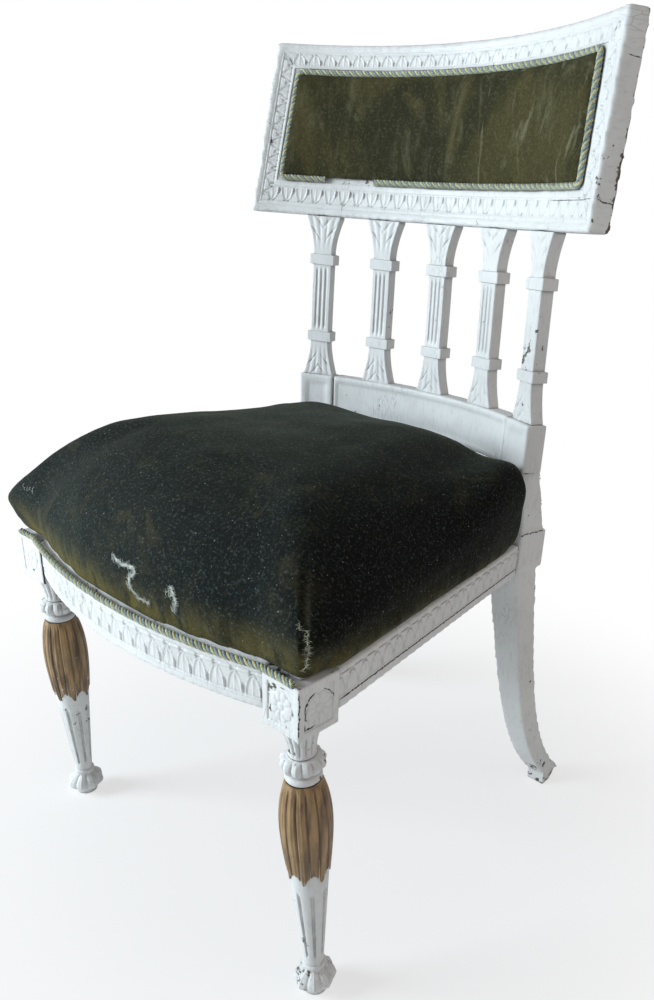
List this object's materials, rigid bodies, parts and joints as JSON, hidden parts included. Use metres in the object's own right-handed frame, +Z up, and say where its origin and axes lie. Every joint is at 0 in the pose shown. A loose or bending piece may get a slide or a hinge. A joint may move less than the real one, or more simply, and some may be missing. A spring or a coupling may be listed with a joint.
{
  "type": "painted side chair with a stuffed velvet seat and back pad",
  "caption": "Painted wooden side chair of late eighteenth century Nordic form, with a worn green velvet seat, gilt front legs, open column back and concave crest tablet; its paint is flaking",
  "frame": {"origin": "on the floor, under the middle of the whole chair's bounding box", "axes": "+X to the right seen from the front, +Y from the front of the seat towards the back, +Z up; the sitter faces -Y"},
  "size_m": [0.5004, 0.533, 0.893],
  "materials": {
    "white_paint": "old off-white oil paint on wood, cracked and flaking, greyed in the hollows",
    "gilding": "worn bronze-brown gilding on wood",
    "bare_wood": "unfinished softwood, aged",
    "green_velvet": "crushed dark green velvet, faded to olive at the edges, torn at the front",
    "olive_velvet": "crushed velvet faded to olive brown, with dark patches",
    "rope_trim": "twisted rope trim of yellow and grey-blue strands",
    "stuffing": "matted horsehair and tow",
    "jute": "woven jute",
    "dust_cloth": "thin dark cotton, torn"
  },
  "bodies": {
    "root": {"front_left_leg": "white_paint", "front_right_leg": "white_paint", "front_rail": "white_paint", "left_side_rail": "white_paint", "right_side_rail": "white_paint", "rear_rail": "white_paint", "rear_left_post": "white_paint", "rear_right_post": "white_paint", "stay_rail": "white_paint", "left_column": "white_paint", "middle_column": "white_paint", "right_column": "white_paint", "crest_tablet": "white_paint", "back_pad": "olive_velvet", "back_pad_trim": "rope_trim", "seat_cover": "green_velvet", "seat_stuffing": "stuffing", "seat_trim": "rope_trim", "long_webbing": "jute", "cross_webbing": "jute", "hessian": "jute", "dust_cloth": "dust_cloth", "front_left_brace": "bare_wood", "front_right_brace": "bare_wood", "rear_left_block": "bare_wood", "rear_right_block": "bare_wood", "joint_pegs": "bare_wood"}
  },
  "joints": []
}
